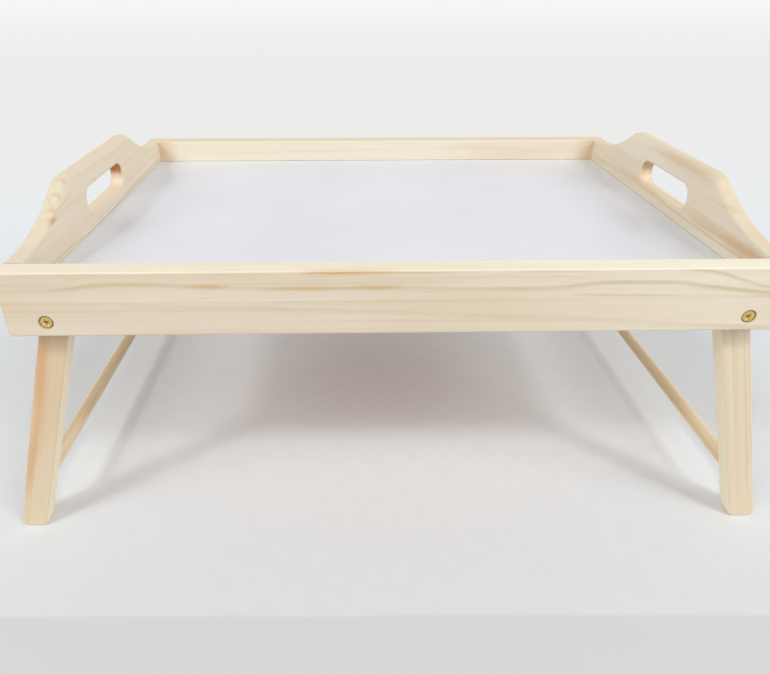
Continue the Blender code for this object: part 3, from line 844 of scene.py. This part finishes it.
class TRAY_OT_legs(Operator):
    """Dress the four legs in pine, the left front one streaked with heart wood"""

    bl_idname = "tray.legs"
    bl_label = "Legs"

    def execute(self, context):
        tones = context.scene.tray_looks.leg_wood
        for side, sign in SIDES.items():
            down = (sign * math.sin(LEG_SPLAY), 0, -math.cos(LEG_SPLAY))
            across = (math.cos(LEG_SPLAY), 0, sign * math.sin(LEG_SPLAY))
            through = tuple(Vector(down).cross(Vector(across)))

            def painted_light_on_inner_side(g, place, facing, painted):
                # Painted light: the inner side of each leg, which faces the other leg under the tray, is
                # mixed towards the pale sap tone to look more brightly lit.
                inward = g.times(g.split(facing)[1], -sign)
                return g.mix(g.ramp(inward, 0.6, 0.95, 0.0, 0.8), painted, tones.sap)

            for end, face in ENDS.items():
                node = f"{side}_{end}_leg"
                pith = (0, 6 * face - 10 * sign, -40 if side == "left" else 70)
                seed = 11.3 + 2.1 * sign + 0.7 * face
                dress(node, wood(f"{node}_pine", node, (down, across, through), tones, pith, seed,
                                 streaks=LEG_STREAKS[side, end], extra=painted_light_on_inner_side))
        return {"FINISHED"}


class TRAY_OT_crossbars(Operator):
    """Dress the two round crossbars in streaky dowel wood"""

    bl_idname = "tray.crossbars"
    bl_label = "Crossbars"

    def execute(self, context):
        tones = context.scene.tray_looks.bar_wood
        streaks = {
            "left": (((-60, 3, 2), (60, 3.2, 5), 0.45), ((70, 2, 3), (75, 4.0, 5), 0.6)),
            "right": (((-70, 2, -3), (65, 3.0, 4), 0.25), ((70, 3, -2), (50, 2.6, 4), 0.3)),
        }
        for side, sign in SIDES.items():
            node = f"{side}_crossbar"
            dress(node, wood(f"{node}_wood", node, BOARD_AXES, tones, (0, -14, 9 * sign), 17.3 + sign,
                             streaks=streaks[side]))
        return {"FINISHED"}


class TRAY_OT_corner_dowels(Operator):
    """Dress the dowels hidden in the corner joints in plain dowel wood"""

    bl_idname = "tray.corner_dowels"
    bl_label = "Corner dowels"

    def execute(self, context):
        tones = context.scene.tray_looks.bar_wood
        made = wood("corner_dowel_wood", "left_front_lower_dowel", BOARD_AXES, tones, (0, -9, 5), 23.9)
        for side in SIDES:
            for end in ENDS:
                for level in ("lower", "upper"):
                    dress(f"{side}_{end}_{level}_dowel", made)
        return {"FINISHED"}


# Grid lines on a screw's head, in mm from its middle, close together where the cross is cut. They run
# straight up to HEAD_SQUARE, and turn into circles from there to the rim.
HEAD_GRID = (0.0, 0.22, 0.40, 0.48, 0.56, 0.66, 0.95, 1.35, 1.75, 2.10, 2.33, 2.43, 2.52, 2.64, 2.9, 3.3,
             3.7, 4.0, 4.2, 4.32)
HEAD_SQUARE = 2.64
HEAD_DOME = 0.3

# The floor of the cross rises by this share of its depth to the end of an arm, along this power curve
RECESS_RISE = 0.72
RECESS_CURVE = 0.9


def cross_depth(x, y, tones):
    """How deep the cross recess is at a place on the head, all in mm."""
    arm, half, deepest = tones.arm / MM, tones.width / MM / 2, tones.depth / MM
    deep = 0.0
    for along, across in ((abs(x), abs(y)), (abs(y), abs(x))):
        if along <= arm and across <= half:
            deep = max(deep, deepest * (1.0 - RECESS_RISE * (along / arm) ** RECESS_CURVE))
    return deep


def screw_mesh(name, tones, radius, reach):
    """A domed countersunk screw with its cross recess, its axis along Z and its rim at zero, in mm."""
    half = [line for line in HEAD_GRID if line < radius]
    marks = [-line for line in reversed(half[1:])] + half
    model = bmesh.new()
    rows = []
    for y in marks:
        row = []
        for x in marks:
            square = max(abs(x), abs(y))
            rounding = min(1.0, max(0.0, (square - HEAD_SQUARE) / (half[-1] - HEAD_SQUARE)))
            out = math.hypot(x, y) or 1.0
            scale = 1.0 + rounding * (square / out - 1.0)
            px, py = x * scale, y * scale
            height = HEAD_DOME * (1.0 - (math.hypot(px, py) / radius) ** 2) - cross_depth(x, y, tones)
            row.append(model.verts.new((px * MM, py * MM, height * MM)))
        rows.append(row)
    last = len(marks) - 1
    for j in range(last):
        for i in range(last):
            model.faces.new((rows[j][i], rows[j][i + 1], rows[j + 1][i + 1], rows[j + 1][i]))
    rim = rows[0][:last] + [rows[j][last] for j in range(last)]
    rim += list(reversed(rows[last][1:])) + [rows[j][0] for j in range(last, 0, -1)]
    rolled_rim = [(radius - 0.03, -0.02), (radius, -0.10), (radius - 0.05, -0.20)]
    shank = [(2.2, -2.25), (2.0, -2.5), (2.0, -reach + 3.5)]
    point = [(1.3, -reach + 1.4), (0.35, -reach)]
    for out, height in rolled_rim + shank + point:
        ring = []
        for vertex in rim:
            flat = Vector((vertex.co.x, vertex.co.y))
            flat.normalize()
            ring.append(model.verts.new((flat.x * out * MM, flat.y * out * MM, height * MM)))
        for k, vertex in enumerate(rim):
            after = (k + 1) % len(rim)
            model.faces.new((rim[after], vertex, ring[k], ring[after]))
        rim = ring
    model.faces.new(list(reversed(rim)))
    for face in model.faces:
        face.smooth = True
    mesh = bpy.data.meshes.new(name)
    model.to_mesh(mesh)
    model.free()
    return mesh


def brass(tones):
    """Turned and plated brass: fine rings on the head, tarnish in the recess and at the rim."""
    made, g, shader = material("brass_screw_plating")
    place = g.add("ShaderNodeTexCoord").outputs["Object"]
    x, y, z = g.split(place)
    away = g.radius(x, y)
    cloud = g.noise(place, (700, 700, 700), detail=3.0)
    recess = g.ramp(z, 0.05 * MM, -0.55 * MM)
    rim = g.times(g.ramp(away, 3.3 * MM, 4.1 * MM), 0.95)
    worn = g.times(g.ramp(cloud, 0.38, 0.62, 0.55, 1.0), g.math("MAXIMUM", recess, rim))
    base = g.mix(g.ramp(cloud, 0.35, 0.7, 0.0, 0.25), tones.brass, tones.tarnish)
    g.feed(shader.inputs["Metallic"], 1.0)
    rough = g.math("MULTIPLY_ADD", worn, 0.22, g.ramp(cloud, 0.3, 0.7, 0.22, 0.36))
    turning_mark = 0.16 * MM
    marks = g.math("SINE", g.times(away, 2 * math.pi / turning_mark))
    height = g.math("MULTIPLY_ADD", marks, 0.25, cloud)
    surface(g, shader, g.mix(worn, base, tones.tarnish), rough, height, 0.25, 0.03)
    return made


class TRAY_OT_screws(Operator):
    """Model the four brass screws with their cross recesses, in the place of the plain ones"""

    bl_idname = "tray.screws"
    bl_label = "Pivot screws"

    def execute(self, context):
        tones = context.scene.tray_looks.screws
        made = brass(tones)
        turns = {("left", "front"): 22.0, ("right", "front"): -14.0,
                 ("left", "back"): 51.0, ("right", "back"): 8.0}
        for side in SIDES:
            for end, towards in ENDS.items():
                node = f"{side}_{end}_pivot_screw"
                low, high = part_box(node)
                half = half_size(node)
                crown = low.y if towards < 0 else high.y
                mesh = screw_mesh(f"{node}_brass", tones, half.x, 2 * half.y - HEAD_DOME)
                mesh.materials.append(made)
                piece = bpy.data.objects.new(f"{node}_brass", mesh)
                context.scene.collection.objects.link(piece)
                middle = box_centre(node)
                outward = Vector((0.0, towards, 0.0))
                turn = outward.to_track_quat("Z", "Y").to_matrix().to_4x4()
                spin = Matrix.Rotation(math.radians(turns[side, end]), 4, "Z")
                seat = Vector((middle.x, crown - towards * HEAD_DOME * MM, middle.z))
                piece.matrix_world = Matrix.Translation(seat) @ turn @ spin
                smooth = piece.modifiers.new("Rounded", "SUBSURF")
                smooth.levels = smooth.render_levels = 1
                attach(piece, f"{side}_legs")
                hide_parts(node)
        return {"FINISHED"}


# The stage

FLOOR_REACH = 30.0

# Each broad light: where it comes from, and the setting of its strength
WALLS = (
    ((-1.0, 0.0, 0.0), "left_wall"),
    ((1.0, 0.0, 0.0), "right_wall"),
    ((0.0, 1.0, 0.0), "back_wall"),
    ((0.0, -1.0, 0.0), "front_wall"),
    ((0.0, 0.0, 1.0), "ceiling"),
    ((0.0, 0.0, -1.0), "ceiling"),
)
# How fast a broad light fades away from its middle, as a power of the cosine
WALL_FALLOFF = 3.0

# Each lamp: where it shines from, and the setting of its width; its name is the setting of its strength
LAMPS = (
    ("left_lamp", (-0.63, -0.70, 1.0), "blur"),
    ("right_lamp", (0.45, -0.66, 1.0), "blur"),
    ("left_fill", (-1.05, -0.87, 1.0), "fill_blur"),
    ("right_fill", (1.05, -0.87, 1.0), "fill_blur"),
)

# The camera, fitted to the photograph: its place in metres, its tilt in degrees from straight down, its
# turn in degrees from straight ahead, its lens in mm, and its shift across and up
CAMERA_PLACE = (-0.03338, -0.51551, 0.38943)
CAMERA_TILT = 61.85
CAMERA_TURN = -1.02
CAMERA_LENS = 28.76
CAMERA_SHIFT = (0.0354, -0.0422)

# The far edge of the sheet of paper nearest the camera: its place in metres, and its slope
SHEET_EDGE = -0.2475
SHEET_SLOPE = -0.0145


def floor_paper(tones):
    """Pale paper, a little darker in front of the tray, where the faint edge of another sheet shows."""
    made, g, shader = material("floor_paper")
    place = g.add("ShaderNodeTexCoord").outputs["Object"]
    x, y, _ = g.split(place)
    tone = g.mix(g.ramp(y, 0.2, 1.3), tones.floor, tones.middle)
    tone = g.mix(g.ramp(y, -0.10, -0.24, 0.0, 0.45), tone, tones.front)
    tone = g.mix(g.ramp(y, 1.6, 9.0), tone, tones.far)
    edge = g.math("MULTIPLY_ADD", g.noise(place, (3, 3, 3)), 0.012, SHEET_EDGE)
    past = g.math("SUBTRACT", y, g.math("MULTIPLY_ADD", x, SHEET_SLOPE, edge))
    tone = g.mix(g.ramp(past, -4 * MM, 0.0, 1.0, 0.0), tone, tones.front)
    cloud = g.ramp(g.noise(place, (60, 60, 60), detail=4.0), 0.35, 0.7, 0.0, 0.12)
    surface(g, shader, g.mix(cloud, tone, tones.front), 0.9)
    below = g.add("ShaderNodeNewGeometry").outputs["Backfacing"]
    clear = g.add("ShaderNodeBsdfTransparent").outputs[0]
    seen = g.add("ShaderNodeMixShader", below, shader.outputs[0], clear).outputs[0]
    g.feed(g.output.inputs["Surface"], seen)
    return made


def studio(tones):
    """Broad light from the walls and ceiling, where the camera and gloss see a plain pale background."""
    world = bpy.data.worlds.new("studio")
    world.use_nodes = True
    g = Graph(world.node_tree)
    look = g.add("ShaderNodeTexCoord").outputs["Generated"]
    light = 0.0
    for towards, power in WALLS:
        near = g.math("MAXIMUM", g.vector("DOT_PRODUCT", look, towards), 0.0)
        light = g.math("MULTIPLY_ADD", g.math("POWER", near, WALL_FALLOFF), getattr(tones, power), light)
    rays = g.add("ShaderNodeLightPath").outputs
    seen = g.math("MAXIMUM", rays["Is Camera Ray"], rays["Is Glossy Ray"])
    seen = g.math("MAXIMUM", seen, rays["Is Transmission Ray"])
    background = g.add("ShaderNodeBackground")
    g.feed(background.inputs["Color"], g.mix(seen, (1.0, 1.0, 1.0), tuple(tones.far)))
    g.feed(background.inputs["Strength"], g.blend(seen, light, 1.0))
    g.add("ShaderNodeOutputWorld", background.outputs[0])
    return world


class TRAY_OT_stage(Operator):
    """Set the pale floor, the soft studio light and the camera"""

    bl_idname = "tray.stage"
    bl_label = "Stage"

    def execute(self, context):
        scene = context.scene
        tones = scene.tray_looks.stage
        corners = [(x * FLOOR_REACH, y * FLOOR_REACH, 0) for x, y in ((-1, -1), (1, -1), (1, 1), (-1, 1))]
        mesh = bpy.data.meshes.new("floor")
        mesh.from_pydata(corners, [], [(0, 1, 2, 3)])
        mesh.materials.append(floor_paper(tones))
        floor = bpy.data.objects.new("floor", mesh)
        scene.collection.objects.link(floor)
        scene.world = studio(tones)

        for name, towards, width in LAMPS:
            lamp = bpy.data.lights.new(name, "SUN")
            lamp.energy = getattr(tones, name)
            lamp.angle = getattr(tones, width)
            obj = bpy.data.objects.new(name, lamp)
            obj.rotation_euler = Vector(towards).to_track_quat("Z", "Y").to_euler()
            scene.collection.objects.link(obj)

        camera = bpy.data.cameras.new("camera")
        camera.lens = CAMERA_LENS
        camera.shift_x, camera.shift_y = CAMERA_SHIFT
        obj = bpy.data.objects.new("camera", camera)
        obj.location = CAMERA_PLACE
        obj.rotation_euler = (math.radians(CAMERA_TILT), 0.0, math.radians(CAMERA_TURN))
        scene.collection.objects.link(obj)
        scene.camera = obj
        scene.view_settings.view_transform = "Standard"
        return {"FINISHED"}


class VIEW3D_PT_tray_looks(Panel):
    """Lists the steps that dress the tray, with their settings"""

    bl_idname = "VIEW3D_PT_tray_looks"
    bl_label = "Tray looks"
    bl_space_type = "VIEW_3D"
    bl_region_type = "UI"
    bl_category = "Tray"

    def draw(self, context):
        for step in STEPS:
            self.layout.operator(step.bl_idname)
        looks = context.scene.tray_looks
        for name in ("frame_wood", "leg_wood", "bar_wood", "panel", "screws", "stage"):
            box = self.layout.box()
            group = getattr(looks, name)
            for key in group.bl_rna.properties.keys():
                if key not in {"rna_type", "name"}:
                    box.prop(group, key)


SETTINGS = (TRAY_PG_frame_wood, TRAY_PG_leg_wood, TRAY_PG_bar_wood, TRAY_PG_panel, TRAY_PG_screws,
            TRAY_PG_stage, TRAY_PG_looks)
STEPS = (TRAY_OT_rails, TRAY_OT_end_boards, TRAY_OT_glue_lines, TRAY_OT_panel, TRAY_OT_legs,
         TRAY_OT_crossbars, TRAY_OT_corner_dowels, TRAY_OT_screws, TRAY_OT_stage)


def register():
    """Register the settings, the steps and the panel."""
    for made in (*SETTINGS, *STEPS, VIEW3D_PT_tray_looks):
        bpy.utils.register_class(made)
    bpy.types.Scene.tray_looks = PointerProperty(type=TRAY_PG_looks)


def unregister():
    """Undo what register did, in the opposite order."""
    del bpy.types.Scene.tray_looks
    for made in (VIEW3D_PT_tray_looks, *reversed(STEPS), *reversed(SETTINGS)):
        bpy.utils.unregister_class(made)


def main():
    """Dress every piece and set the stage."""
    register()
    bpy.ops.tray.rails()
    bpy.ops.tray.end_boards()
    bpy.ops.tray.glue_lines()
    bpy.ops.tray.panel()
    bpy.ops.tray.legs()
    bpy.ops.tray.crossbars()
    bpy.ops.tray.corner_dowels()
    bpy.ops.tray.screws()
    bpy.ops.tray.stage()


if __name__ == "__main__":
    main()
